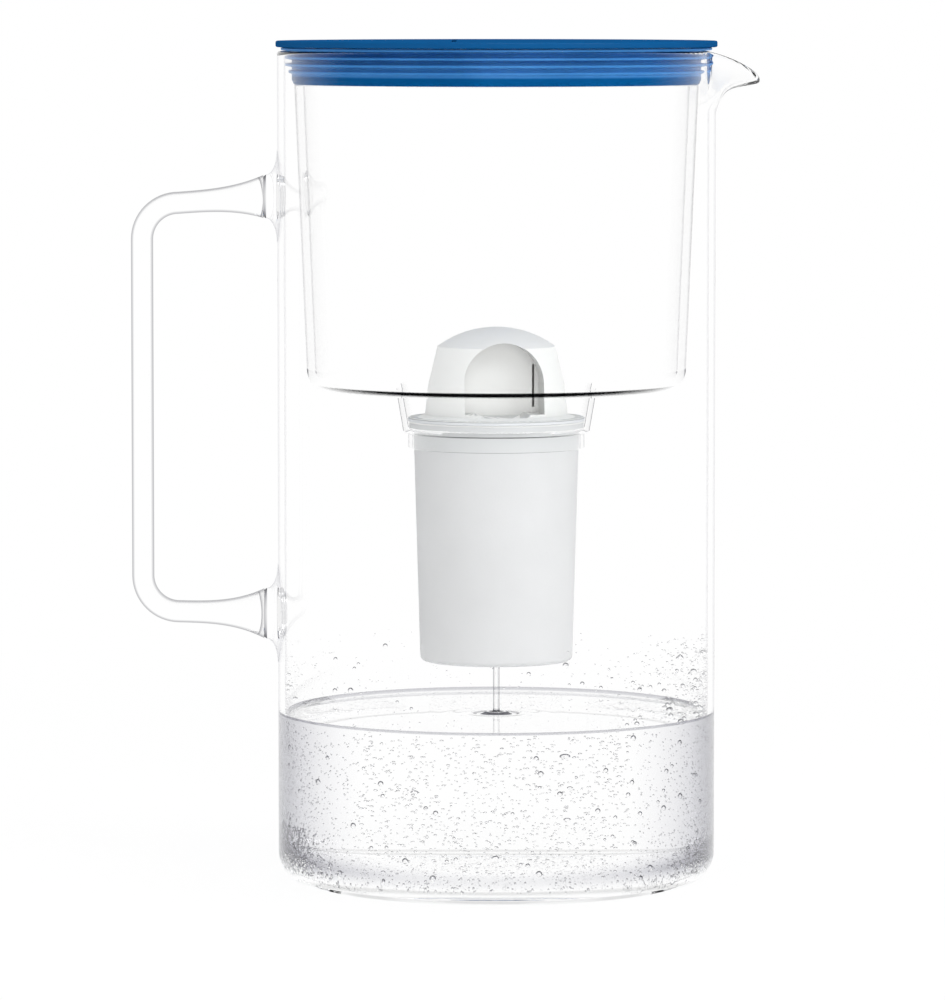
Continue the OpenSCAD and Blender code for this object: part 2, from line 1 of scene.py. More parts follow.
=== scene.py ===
# A glass water filter pitcher with a flip lid, about half a litre of filtered water in it, on white.
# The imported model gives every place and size. This script gives it glass, clear plastic, silicone and light.
import bpy
import math
import random
import numpy as np
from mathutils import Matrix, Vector


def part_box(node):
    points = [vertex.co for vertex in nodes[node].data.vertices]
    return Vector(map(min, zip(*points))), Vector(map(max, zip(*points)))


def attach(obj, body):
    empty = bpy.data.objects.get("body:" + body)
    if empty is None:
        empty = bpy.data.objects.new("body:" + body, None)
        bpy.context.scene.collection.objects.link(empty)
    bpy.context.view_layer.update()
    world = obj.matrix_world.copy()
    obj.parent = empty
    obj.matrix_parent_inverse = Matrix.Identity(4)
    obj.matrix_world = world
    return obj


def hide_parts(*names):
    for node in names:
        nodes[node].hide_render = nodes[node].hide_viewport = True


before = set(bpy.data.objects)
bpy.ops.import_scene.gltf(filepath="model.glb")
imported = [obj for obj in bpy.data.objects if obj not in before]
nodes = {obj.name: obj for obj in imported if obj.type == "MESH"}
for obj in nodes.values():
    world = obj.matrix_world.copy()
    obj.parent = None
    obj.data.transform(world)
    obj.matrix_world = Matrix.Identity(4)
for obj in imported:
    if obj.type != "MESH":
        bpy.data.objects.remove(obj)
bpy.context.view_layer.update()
scene = bpy.context.scene
mm = 0.001
random.seed(7)
print("frame loaded:", len(nodes), "nodes")


# Small helpers

def toLinear(hexColour):  # sRGB hex to linear RGBA
    parts = [int(hexColour[i:i + 2], 16) / 255 for i in (1, 3, 5)]
    return [c / 12.92 if c <= 0.04045 else ((c + 0.055) / 1.055) ** 2.4 for c in parts] + [1.0]


def newMaterial(name):
    mat = bpy.data.materials.new(name)
    mat.use_nodes = True
    mat.node_tree.nodes.clear()
    return mat, mat.node_tree


def addNode(tree, kind, settings=None, links=None):  # links: input name or index to a value or (node, output)
    node = tree.nodes.new("ShaderNode" + kind)
    for key, value in (settings or {}).items():
        setattr(node, key, value)
    for key, value in (links or {}).items():
        if isinstance(value, tuple) and hasattr(value[0], "outputs"):
            tree.links.new(value[0].outputs[value[1]], node.inputs[key])
        else:
            node.inputs[key].default_value = value
    return node


def setRamp(node, stops):  # stops: (position, colour or grey)
    ramp = node.color_ramp
    while len(ramp.elements) < len(stops):
        ramp.elements.new(0.5)
    for element, (position, colour) in zip(ramp.elements, stops):
        element.position = position
        element.color = colour if isinstance(colour, (list, tuple)) else [colour, colour, colour, 1]


def meshObject(name, points, faces, smooth=True, sharpAngle=None):
    mesh = bpy.data.meshes.new(name)
    mesh.from_pydata([tuple(p) for p in points], [], faces)
    mesh.validate()
    mesh.update()
    if smooth:
        mesh.shade_smooth()
    if sharpAngle:
        mesh.set_sharp_from_angle(angle=math.radians(sharpAngle))
    obj = bpy.data.objects.new(name, mesh)
    scene.collection.objects.link(obj)
    return obj


def gridFaces(rows, columns, closedRows=False):  # quads over a grid that closes round its columns
    faces = []
    for i in range(rows if closedRows else rows - 1):
        a, b = i * columns, ((i + 1) % rows) * columns
        faces += [(a + j, a + (j + 1) % columns, b + (j + 1) % columns, b + j) for j in range(columns)]
    return faces


def arcPoints(x, z, r, start, end, steps):  # from start to end, in degrees
    turns = [math.radians(start + (end - start) * i / steps) for i in range(steps + 1)]
    return [(x + r * math.cos(t), z + r * math.sin(t)) for t in turns]


def roundProfile(corners, steps=5):  # corners: (r, z, radius), each rounded by an arc-like curve
    out = []
    n = len(corners)
    for i, (x, z, radius) in enumerate(corners):
        if radius <= 0:
            out.append((x, z))
            continue
        p = Vector((x, z))
        a = Vector(corners[i - 1][:2]) - p
        b = Vector(corners[(i + 1) % n][:2]) - p
        reach = min(radius / math.tan(max(a.angle(b), 0.05) / 2), a.length * 0.48, b.length * 0.48)
        start, end = p + a.normalized() * reach, p + b.normalized() * reach
        for k in range(steps + 1):
            t = k / steps
            q = start * (1 - t) ** 2 + p * 2 * t * (1 - t) + end * t ** 2
            out.append((q.x, q.y))
    return out


def turned(name, profile, segments=192, closed=True, sharpAngle=35):  # turned from (radius, height) in mm
    angles = [2 * math.pi * j / segments for j in range(segments)]
    points, faces, start = [], [], []
    for r, z in profile:
        start.append(len(points))
        if r < 1e-6:
            points.append((0, 0, z * mm))
        else:
            points += [(r * math.cos(a) * mm, r * math.sin(a) * mm, z * mm) for a in angles]
    n = len(profile)
    for i in range(n if closed else n - 1):
        k = (i + 1) % n
        poleA, poleB = profile[i][0] < 1e-6, profile[k][0] < 1e-6
        if poleA and poleB:
            continue
        for j in range(segments):
            jj = (j + 1) % segments
            if poleA:
                faces.append((start[i], start[k] + jj, start[k] + j))
            elif poleB:
                faces.append((start[i] + j, start[i] + jj, start[k]))
            else:
                faces.append((start[i] + j, start[i] + jj, start[k] + jj, start[k] + j))
    return meshObject(name, points, faces, sharpAngle=sharpAngle)


# Camera

shot = {
    "distance": 1.97,      # m from the jug's axis
    "height": 0.2690,      # m above the table, level with the lid
    "aside": -0.0072,      # m, the jug stands right of the middle
    "pitch": 4.46,         # degrees down
    "focalPixels": 6540,   # in a frame 1000 pixels tall
}
cameraData = bpy.data.cameras.new("camera")
cameraData.sensor_fit = "VERTICAL"
cameraData.sensor_height = 36
cameraData.lens = shot["focalPixels"] / 1000 * 36
cameraData.clip_end = 50
cameraObject = bpy.data.objects.new("camera", cameraData)
cameraObject.location = (shot["aside"], -shot["distance"], shot["height"])
cameraObject.rotation_euler = (math.radians(90 - shot["pitch"]), 0, 0)
scene.collection.objects.link(cameraObject)
scene.camera = cameraObject
print("camera placed")


# Glass

def letLightThrough(tree, shader, tint):  # shadow and diffuse rays go straight on, to light what is inside
    clear = addNode(tree, "BsdfTransparent", links={"Color": tint})
    path = addNode(tree, "LightPath")
    passThroughAndPaintedGlow = addNode(tree, "Math", {"operation": "MAXIMUM"},
                      {0: (path, "Is Shadow Ray"), 1: (path, "Is Diffuse Ray")})
    mix = addNode(tree, "MixShader", links={"Fac": (passThroughAndPaintedGlow, 0), 1: (shader, 0), 2: (clear, 0)})
    addNode(tree, "OutputMaterial", links={"Surface": (mix, 0)})


# Borosilicate glass, blown and fire polished: colourless and wet-smooth; painted shade darkens it only where
# the wall is edge-on.
def glassMaterial(name, look, foot=None, footSide="outside", level=True, wet=False):
    mat, tree = newMaterial(name)
    facing = addNode(tree, "LayerWeight", links={"Blend": 0.5})
    shape = addNode(tree, "NewGeometry")
    up = addNode(tree, "SeparateXYZ", links={"Vector": (shape, "Normal")})
    tilt = addNode(tree, "Math", {"operation": "ABSOLUTE"}, {0: (up, "Z")})
    flat = addNode(tree, "Math", {"operation": "POWER"}, {0: (tilt, 0), 1: 2.0})
    upright = addNode(tree, "Math", {"operation": "SUBTRACT"}, {0: 1.0, 1: (flat, 0)})  # floors stay clear
    slant = addNode(tree, "Math", {"operation": "MULTIPLY"},
                    {0: (facing, "Facing"), 1: (upright, 0) if level else 1.0})
    if wet:  # counted once, where the view first goes from the glass into the water
        path = addNode(tree, "LightPath")
        first = addNode(tree, "Math", {"operation": "LESS_THAN"}, {0: (path, "Ray Depth"), 1: 1.5})
        slant = addNode(tree, "Math", {"operation": "MULTIPLY"}, {0: (slant, 0), 1: (first, 0)})
    # painted shade: the ramp greys the glass as the wall turns edge-on
    edge = addNode(tree, "ValToRGB", links={"Fac": (slant, 0)})
    setRamp(edge, [(p, toLinear(c)) for p, c in look["edge"]])
    noise = addNode(tree, "TexNoise", links={"Scale": look["waveScale"], "Detail": 1.0,
                                             "Vector": (addNode(tree, "TexCoord"), "Object")})
    bump = addNode(tree, "Bump", links={
        "Strength": look["wave"], "Distance": 0.5 * mm, "Height": (noise, "Fac")})
    bent = addNode(tree, "BsdfRefraction", links={
        "Color": (edge, "Color"), "Roughness": 0.0, "IOR": look["ior"], "Normal": (bump, "Normal")})
    mirror = addNode(tree, "BsdfGlossy", links={
        "Color": [1, 1, 1, 1], "Roughness": 0.0, "Normal": (bump, "Normal")})
    fresnel = addNode(tree, "Fresnel", links={"IOR": look["ior"], "Normal": (bump, "Normal")})
    gloss = addNode(tree, "MapRange", links={"Value": (fresnel, "Fac"), "From Min": 0.045, "From Max": 1.0})
    shader = addNode(tree, "MixShader", links={"Fac": (gloss, "Result"), 1: (bent, 0), 2: (mirror, 0)})
    if foot:  # a painted dark line: a dark diffuse is mixed in along the front of a rounded lower edge, where it would gather the dark of the room
        line = addNode(tree, "ValToRGB", links={"Fac": (tilt, 0)})
        setRamp(line, foot)
        if footSide == "both":  # a faint painted dark line, seen from inside and outside
            front = addNode(tree, "Value")
            front.outputs[0].default_value = 0.22
        else:
            front = addNode(tree, "Math", {"operation": "SUBTRACT"}, {0: 1.0, 1: (shape, "Backfacing")})
        turnedTo = addNode(tree, "MapRange",
                           links={"Value": (facing, "Facing"), "From Min": 0.85, "From Max": 0.5})
        share = addNode(tree, "Math", {"operation": "MULTIPLY"}, {0: (line, "Color"), 1: (front, 0)})
        share = addNode(tree, "Math", {"operation": "MULTIPLY"}, {0: (share, 0), 1: (turnedTo, "Result")})
        # the colour of the painted dark line
        paintedDarkLine = addNode(tree, "BsdfDiffuse", links={"Color": toLinear("#0c0c0e")})
        shader = addNode(tree, "MixShader", links={"Fac": (share, 0), 1: (shader, 0), 2: (paintedDarkLine, 0)})
    letLightThrough(tree, shader, [0.98, 0.985, 0.985, 1])
    return mat


def seamMaterial():  # where two pieces of glass are fused, light goes straight on, a little dimmed
    mat, tree = newMaterial("fused glass seam")
    clear = addNode(tree, "BsdfTransparent", links={"Color": toLinear("#f8f8f8")})
    addNode(tree, "OutputMaterial", links={"Surface": (clear, 0)})
    return mat


glassLook = {  # waveScale 40 is a wave every 25 mm; edge is painted shade, darkening the glass from face-on (0) to edge-on (1)
    "jug": {"ior": 1.47, "wave": 0.04, "waveScale": 40,
            "edge": [(0.0, "#ffffff"), (0.84, "#ffffff"), (0.93, "#d2d2d6"), (1.0, "#7c7c82")]},
    # painted shade: the wall with water behind it greys as it turns away
    "wet": {"ior": 1.47 / 1.333, "wave": 0.03, "waveScale": 40,
            "edge": [(0.10, "#ffffff"), (0.14, "#f9f9fa"), (0.18, "#eeeef0"), (0.22, "#dcdce0"),
                     (0.263, "#b9b9bf"), (0.30, "#a0a0a6")]},
    # painted shade: the handle rod darkens strongly towards its edges
    "rod": {"ior": 1.47, "wave": 0.03, "waveScale": 60,
            "edge": [(0.0, "#ffffff"), (0.5, "#ffffff"), (0.75, "#b4b4b8"), (0.95, "#3a3a3e")]},
    # painted shade: the weld greys towards edge-on, and its lip is a painted dark ring
    "weld": {"ior": 1.06, "wave": 0.02, "waveScale": 60,
             "edge": [(0.0, "#ffffff"), (0.70, "#ffffff"), (0.90, "#e0e0e3"), (1.0, "#aeaeb4")]},
    "lip": {"ior": 1.06, "wave": 0.02, "waveScale": 60,
            "edge": [(0.0, "#f6f6f6"), (0.30, "#d8d8da"), (0.70, "#8e8e92"), (1.0, "#38383c")]},
    "under": {"ior": 1.001, "wave": 0.0, "waveScale": 40,  # a full index shows dark images of the lid here
              "edge": [(0.0, "#ffffff"), (1.0, "#f4f4f5")]},
}
jugGlass = glassMaterial("borosilicate glass, fire polished", glassLook["jug"])
# painted shade on the wet wall, with a faint painted dark line round the floor's rounded corner
wetGlass = glassMaterial("borosilicate glass, water behind it", glassLook["wet"], footSide="both", wet=True,
                         foot=[(0.90, 0.0), (0.93, 1.0), (0.955, 1.0), (0.98, 0.0)])
rodGlass = glassMaterial("borosilicate rod, bent in the flame", glassLook["rod"], level=False)
weldGlass = glassMaterial("borosilicate glass, worked weld", glassLook["weld"], level=False)
lipGlass = glassMaterial("borosilicate glass, lip of the weld", glassLook["lip"], level=False)
# a faint painted dark line along the rounded foot, where it meets the table
underGlass = glassMaterial("borosilicate glass, underside", glassLook["under"],
                           foot=[(0.78, 0.0), (0.86, 1.0), (0.93, 1.0), (0.98, 0.0)], footSide="both")
seam = seamMaterial()
jugMaterials = (jugGlass, wetGlass, seam, weldGlass, lipGlass, underGlass)  # slots 0 to 5

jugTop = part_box("glass_jug")[1].z / mm
jug = {  # sizes in mm, then the mesh's own counts
    "radius": 66.0, "wall": 2.0, "base": 4.5, "corner": 9.0, "floorCorner": 10.0, "height": jugTop,
    "spoutReach": 12.4, "spoutDrop": 9.8, "spoutHalf": 19.0, "throat": 19.0, "turn": 1.9, "tip": 1.2,
    "waterLine": 50.7, "underside": 6.0,  # faces that look down below this height are the underside
    "columns": 288, "crowding": 0.62,  # the mesh's columns crowd towards the spout at angle 0
    "cornerSteps": 14, "wallSteps": 26, "spoutSteps": 22, "rimSteps": 8,
}


def spoutCurve(v):  # the spout's middle, out past the body and up, from the throat (0) to the lip (1)
    end = jug["height"] - jug["spoutDrop"] - jug["tip"]
    low = jug["height"] - jug["throat"]
    out = jug["spoutReach"] * v ** 2.4
    up = end - (end - low) * math.exp(-out / jug["turn"]) + jug["tip"] * v ** 6 * 0.9
    return out, up


def buildJug():
    columns, cornerSteps, wallSteps, spoutSteps = (
        jug[key] for key in ("columns", "cornerSteps", "wallSteps", "spoutSteps"))
    even = [-math.pi + 2 * math.pi * j / columns for j in range(columns)]
    angles = [a - jug["crowding"] * math.sin(a) for a in even]
    low = jug["height"] - jug["throat"]
    lip = jug["height"] - jug["wall"] / 2
    outer = []
    for i in range(wallSteps + 1):
        z = jug["corner"] + (low - jug["corner"]) * i / wallSteps
        outer.append([(jug["radius"] * math.cos(a), jug["radius"] * math.sin(a), z) for a in angles])
    for i in range(1, spoutSteps + 1):
        v = i / spoutSteps
        out, up = spoutCurve(v)
        side = low + (lip - low) * v
        row = []
        for a in angles:
            y = jug["radius"] * math.sin(a)
            s = abs(y) / jug["spoutHalf"] if math.cos(a) > 0 else 2
            w = (1 - s * s) ** 1.5 if s < 1 else 0
            fall = 0.55 * w + 0.45 * (1 - math.sqrt(max(0, 1 - w * w)))
            row.append((jug["radius"] * math.cos(a) + out * w, y, side + (min(up, lip) - side) * fall))
        outer.append(row)
    outer = np.array(outer)
    along = np.gradient(outer, axis=0)
    around = np.roll(outer, -1, axis=1) - np.roll(outer, 1, axis=1)
    normal = np.cross(around, along)
    normal /= np.linalg.norm(normal, axis=2, keepdims=True)
    inner = outer - normal * jug["wall"]
    ring = np.array([[math.cos(a), math.sin(a), 0] for a in angles])
    rows = []
    corner = jug["corner"]
    for r, z in arcPoints(jug["radius"] - corner, corner, corner, -90, 0, cornerSteps)[:-1]:
        rows.append(ring * r + [0, 0, z])
    rows += list(outer)
    up = along[-1] / np.linalg.norm(along[-1], axis=1, keepdims=True)
    middle, half = (outer[-1] + inner[-1]) / 2, (outer[-1] - inner[-1]) / 2
    for k in range(1, jug["rimSteps"]):  # the fire-polished rim
        t = math.pi * k / jug["rimSteps"]
        rows.append(middle + half * math.cos(t) + up * jug["wall"] / 2 * math.sin(t))
    bore = jug["radius"] - jug["wall"]
    floorTop = jug["base"] + jug["floorCorner"]
    rows += [row for row in inner[::-1] if row[0][2] > floorTop + 1]
    for r, z in arcPoints(bore - jug["floorCorner"], floorTop, jug["floorCorner"], 0, -90, cornerSteps):
        rows.append(ring * r + [0, 0, z])
    points = np.concatenate(rows) * mm
    n = len(points)
    points = np.vstack([points, [[0, 0, 0], [0, 0, jug["base"] * mm]]])
    faces = gridFaces(len(rows), columns)
    last = (len(rows) - 1) * columns
    faces += [(n, (j + 1) % columns, j) for j in range(columns)]
    faces += [(n + 1, last + j, last + (j + 1) % columns) for j in range(columns)]
    obj = meshObject("jug_glass", points, faces)
    for mat in jugMaterials:
        obj.data.materials.append(mat)
    pastOutside = (cornerSteps + wallSteps) * columns
    for poly in obj.data.polygons:
        c = poly.center
        within = poly.index >= pastOutside and math.hypot(c.x, c.y) < (bore + 0.4) * mm
        if within and c.z < jug["waterLine"] * mm:  # the inside wall below the water
            poly.material_index = jugMaterials.index(wetGlass)
        elif c.z < jug["underside"] * mm and poly.normal.z < -0.8:
            poly.material_index = jugMaterials.index(underGlass)
    return obj


def meshVolume(obj):  # below zero where the faces look inwards
    total = 0.0
    co = [v.co for v in obj.data.vertices]
    for poly in obj.data.polygons:
        ids = poly.vertices
        for k in range(1, len(ids) - 1):
            total += co[ids[0]].dot(co[ids[k]].cross(co[ids[k + 1]]))
    return total / 6


handle = {  # sizes in mm, flare as a share of the weld's reach, then the mesh's own counts
    "top": 207.0, "bottom": 81.0, "upperRadius": 6.5, "lowerRadius": 7.6,
    "weld": 4.0, "flare": 1.85, "seatGap": 0.05, "lip": 0.8,
    "reach": 44.1, "thick": 6.7, "deep": 11.0, "bend": 11.0, "dropTop": 1.9, "riseBottom": 0.6,
    "columns": 48, "armSteps": 24, "bendSteps": 16, "gripSteps": 12,
}


def weldSeat(name, z, radius):  # flared glass seat that carries one end of the handle
    reach, flare = handle["weld"], handle["weld"] * handle["flare"]
    profile = [(0, -reach), (radius - 0.4, -reach), (radius, -reach + 0.4)]
    for k in range(1, 21):
        t = math.pi / 2 * k / 20
        profile.append((radius + flare * (1 - math.cos(t)), -reach + 0.4 + (reach - 0.5) * math.sin(t)))
    profile += [((radius + flare) * k / 8, -handle["seatGap"]) for k in range(7, -1, -1)]
    obj = turned(name, profile, 96, sharpAngle=60)
    obj.data.materials.clear()
    for mat in jugMaterials:
        obj.data.materials.append(mat)
    for poly in obj.data.polygons:
        h = poly.center.z / mm + reach
        kind = weldGlass
        if h < 1e-3:  # the face that the handle is fused to
            kind = seam
        # the painted dark ring at the weld's lip
        elif h < handle["lip"]:
            kind = lipGlass
        poly.material_index = jugMaterials.index(kind)
    for v in obj.data.vertices:  # lay it on the wall, its back bent to the jug's round
        x, y, h = v.co
        bend = jug["radius"] * mm - math.sqrt(max((jug["radius"] * mm) ** 2 - y * y, 0))
        share = min(max((h / mm + reach) / (reach - 0.1), 0), 1)
        v.co = (-jug["radius"] * mm + h + bend * share, y, z * mm + x)
    if meshVolume(obj) < 0:
        obj.data.flip_normals()
    return obj


def joinInto(obj, others):
    with bpy.context.temp_override(active_object=obj, object=obj, selected_editable_objects=[obj] + others):
        bpy.ops.object.join()


def buildHandle():
    weldX = -jug["radius"] - handle["weld"] - 0.15
    gripX = -jug["radius"] - handle["reach"] + handle["thick"] / 2
    bendX = gripX + handle["bend"]
    half, deep = handle["thick"] / 2, handle["deep"] / 2
    top, low = handle["top"] - handle["dropTop"], handle["bottom"] + handle["riseBottom"]
    bend = handle["bend"]
    stations = []  # x, z, turn in degrees, half thickness, half depth
    arm, curve, grip = handle["armSteps"], handle["bendSteps"], handle["gripSteps"]

    def armStation(s, z, turn, radius):  # s is 0 at the bend and 1 at the weld, where the rod flares out
        x = bendX + (weldX - bendX) * s
        f = s ** 3
        stations.append((x, z, turn, half + (radius - half) * f, deep + (radius - deep) * f))

    def bendStation(degrees, z):
        a = math.radians(degrees)
        stations.append((bendX + bend * math.cos(a), z + bend * math.sin(a), degrees + 90, half, deep))

    for i in range(arm + 1):
        s = 1 - i / arm
        armStation(s, handle["top"] - handle["dropTop"] * (1 - s), 180, handle["upperRadius"])
    for i in range(1, curve + 1):
        bendStation(90 + 90 * i / curve, top - bend)
    for i in range(1, grip):
        z = top - bend - (top - low - 2 * bend) * i / grip
        stations.append((gripX, z, 270, half, deep))
    for i in range(curve + 1):
        bendStation(180 + 90 * i / curve, low + bend)
    for i in range(1, arm + 1):
        s = i / arm
        armStation(s, low - (low - handle["bottom"]) * s, 0, handle["lowerRadius"])
    columns = handle["columns"]
    points = []
    for x, z, turn, h, d in stations:
        t = math.radians(turn)
        for j in range(columns):
            a = 2 * math.pi * j / columns
            rise = h * math.cos(a)
            place = (x - math.sin(t) * rise, d * math.sin(a), z + math.cos(t) * rise)
            points.append([c * mm for c in place])
    n = len(points)
    for end in (0, len(stations) - 1):
        points.append((stations[end][0] * mm, 0, stations[end][1] * mm))
    faces = [tuple(reversed(f)) for f in gridFaces(len(stations), columns)]
    last = (len(stations) - 1) * columns
    faces += [(n, j, (j + 1) % columns) for j in range(columns)]
    faces += [(n + 1, last + (j + 1) % columns, last + j) for j in range(columns)]
    obj = meshObject("handle_glass", points, faces, sharpAngle=50)
    if meshVolume(obj) < 0:
        obj.data.flip_normals()
    obj.data.materials.append(rodGlass)
    obj.data.materials.append(seam)
    for poly in obj.data.polygons:
        if len(poly.vertices) == 3:  # the fused ends
            poly.material_index = 1
    return obj


jugBody = buildJug()
joinInto(jugBody, [weldSeat("weld_seat_upper", handle["top"], handle["upperRadius"]),
                   weldSeat("weld_seat_lower", handle["bottom"], handle["lowerRadius"])])
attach(jugBody, "jug")
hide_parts("glass_jug")
handleGlass = buildHandle()
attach(handleGlass, "jug")
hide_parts("glass_handle")
print("jug and handle made")


# Hopper and seal

# SAN, injection moulded and polished: clear, with painted shade darkening its edges where the wall turns away.
hopperLook = {"ior": 1.5, "wave": 0.02, "waveScale": 30,
              "edge": [(0.60, "#ffffff"), (0.84, "#f8f8f8"), (0.92, "#9a9aa0"), (0.99, "#1c1c20")]}
# where the painted dark line falls along the hopper's rounded foot
hopperFoot = [(0.60, 0.0), (0.66, 1.0), (0.84, 1.0), (0.90, 0.4), (0.97, 0.0)]
thinLook = {**hopperLook, "ior": 1.001}  # the thin floor lets light straight on
hopperPlastic = glassMaterial("SAN, moulded clear, outer skin", hopperLook, foot=hopperFoot)
hopperInside = glassMaterial("SAN, moulded clear, inner skin", hopperLook)
hopperFloor = glassMaterial("SAN, moulded clear, thin floor", thinLook)
hopperCorner = glassMaterial("SAN, moulded clear, thin floor's corner", thinLook, foot=hopperFoot)

hopper = {  # mm, the draft in degrees
    "foot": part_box("hopper")[0].z / mm, "top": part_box("hopper")[1].z / mm,
    "radius": 60.8, "recess": 0.8, "wall": 2.6, "floor": 2.4, "draft": 2.3, "corner": 7.0,
    "bandDepth": 10.0, "socketDepth": 11.5, "seatRadius": 26.6, "flare": 2.0, "socketWall": 1.6,
    "collar": 6.0, "collarBore": 25.4, "collarWall": 1.2, "seatFloor": 1.4, "clearHeart": 40.0,
}
hopper["ledge"] = hopper["foot"] + hopper["collar"]
hopper["floorZ"] = hopper["ledge"] + hopper["socketDepth"]
hopper["bandZ"] = jug["height"] - hopper["bandDepth"]


def buildHopper():
    h = hopper
    tan = math.tan(math.radians(h["draft"]))
    foot = h["radius"] - (h["bandZ"] - h["floorZ"]) * tan
    floorTop = h["floorZ"] + h["floor"]
    corners = [
        (h["collarBore"], h["foot"], 0.4), (h["collarBore"] + h["collarWall"], h["foot"], 0.4),
        (h["collarBore"] + h["collarWall"], h["ledge"] - h["seatFloor"], 0.5),
        (h["seatRadius"] + h["socketWall"] - 0.2, h["ledge"] - h["seatFloor"], 1.5),
        (h["seatRadius"] + h["flare"] + h["socketWall"], h["floorZ"], 0.8),
        (foot - 0.2, h["floorZ"], h["corner"]), (h["radius"], h["bandZ"] - 0.1, 0.3),
        (h["radius"] - h["recess"], h["bandZ"] - 0.1, 0.2), (h["radius"] - h["recess"], h["top"], 0.5),
        (h["radius"] - h["wall"], h["top"], 0.5), (h["radius"] - h["wall"], h["bandZ"], 0),
        (foot - h["wall"], floorTop, h["corner"] - h["wall"]),
        (h["seatRadius"] + h["flare"] + 0.4, floorTop, 0.9), (h["seatRadius"], h["ledge"], 0.4),
        (h["collarBore"], h["ledge"], 0.4)]
    obj = turned("hopper_shell", roundProfile(corners, 8), 256, sharpAngle=60)
    if meshVolume(obj) < 0:
        obj.data.flip_normals()
    for mat in (hopperPlastic, hopperInside, hopperCorner, hopperFloor):
        obj.data.materials.append(mat)
    for poly in obj.data.polygons:  # the inner skin faces the axis or looks up
        c, n = poly.center, poly.normal
        inside = c.x * n.x + c.y * n.y < 0 or n.z > 0.3
        thin = h["ledge"] + 3 < c.z / mm < h["floorZ"] + h["corner"] + 0.5
        if thin and math.hypot(c.x, c.y) < h["clearHeart"] * mm:  # no painted foot line round the socket
            inside = True
        poly.material_index = (2 if thin else 0) + (1 if inside else 0)
    return obj


hopperShell = buildHopper()
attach(hopperShell, "hopper_unit")
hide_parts("hopper")


# Silicone rubber, compression moulded: cloudy blue, soft satin; the rounded lips are painted lighter, a
# painted highlight for the light they catch.
def buildSilicone():
    mat, tree = newMaterial("silicone, moulded blue")
    coord = addNode(tree, "TexCoord")
    cloud = addNode(tree, "TexNoise", links={  # clouds 18 mm across
        "Scale": 55.0, "Detail": 3.0, "Vector": (coord, "Object")})
    band = addNode(tree, "ValToRGB", links={"Fac": (cloud, "Fac")})
    setRamp(band, [(0.3, toLinear("#00497f")), (0.7, toLinear("#03528b"))])
    # painted highlight: a lighter blue for the lips above the band
    lips = addNode(tree, "ValToRGB", links={"Fac": (cloud, "Fac")})
    setRamp(lips, [(0.3, toLinear("#3676b4")), (0.7, toLinear("#4684c2"))])
    place = addNode(tree, "SeparateXYZ", links={"Vector": (coord, "Object")})
    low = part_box("hopper_seal")[0].z
    above = addNode(tree, "MapRange", links={
        "Value": (place, "Z"), "From Min": low + 2.2 * mm, "From Max": low + 2.8 * mm})
    tone = addNode(tree, "MixRGB", links={
        "Fac": (above, "Result"), "Color1": (band, "Color"), "Color2": (lips, "Color")})
    grain = addNode(tree, "TexNoise", links={  # a skin with a grain of 1 mm
        "Scale": 900.0, "Detail": 2.0, "Vector": (coord, "Object")})
    bump = addNode(tree, "Bump", links={"Strength": 0.12, "Distance": 0.0002, "Height": (grain, "Fac")})
    rough = addNode(tree, "MapRange", links={"Value": (grain, "Fac"), "To Min": 0.28, "To Max": 0.42})
    skin = addNode(tree, "BsdfPrincipled", links={
        "Base Color": (tone, "Color"), "Roughness": (rough, "Result"), "Normal": (bump, "Normal"),
        "IOR": 1.41, "Specular IOR Level": 0.03,
        "Subsurface Weight": 0.1, "Subsurface Scale": 2 * mm, "Subsurface Radius": (0.3, 0.6, 1.0)})
    addNode(tree, "OutputMaterial", links={"Surface": (skin, 0)})
    return mat


seal = {  # mm
    "band": 1.5, "lips": 3, "pitch": 2.1, "lip": 1.2, "step": 1.2, "gap": 0.3, "flange": 0.8, "over": 0.8,
}


def buildSeal():
    bore = jug["radius"] - jug["wall"]
    low, high = (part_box("hopper_seal")[k].z / mm for k in (0, 1))
    inside = hopper["radius"] - hopper["recess"] + 0.1
    out = inside - 0.1 + seal["band"]
    corners = [(inside, low, 0.2), (out - 0.6, low, 0.3), (out, low + 1.4, 0.4)]
    for i in reversed(range(seal["lips"])):
        z = jug["height"] - 2 - seal["pitch"] * i
        tip = bore - seal["gap"] - (seal["step"] if i == seal["lips"] - 1 else 0)
        corners += [(out, z - 0.6 * seal["lip"], 0.25), (tip, z - 0.25 * seal["lip"], 0.28),
                    (tip, z + 0.25 * seal["lip"], 0.28), (out, z + 0.4 * seal["lip"], 0.25)]
    corners += [(out, high - seal["flange"], 0.3), (bore + seal["over"], high - seal["flange"], 0.35),
                (bore + seal["over"], high, 0.35), (inside, high, 0.2)]
    obj = turned("hopper_seal_ring", roundProfile(corners, 5), 256, sharpAngle=70)
    if meshVolume(obj) < 0:
        obj.data.flip_normals()
    obj.data.materials.append(buildSilicone())
    return obj


sealRing = buildSeal()
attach(sealRing, "hopper_unit")
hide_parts("hopper_seal")
print("hopper and seal made")


# The nodes kept from the CAD

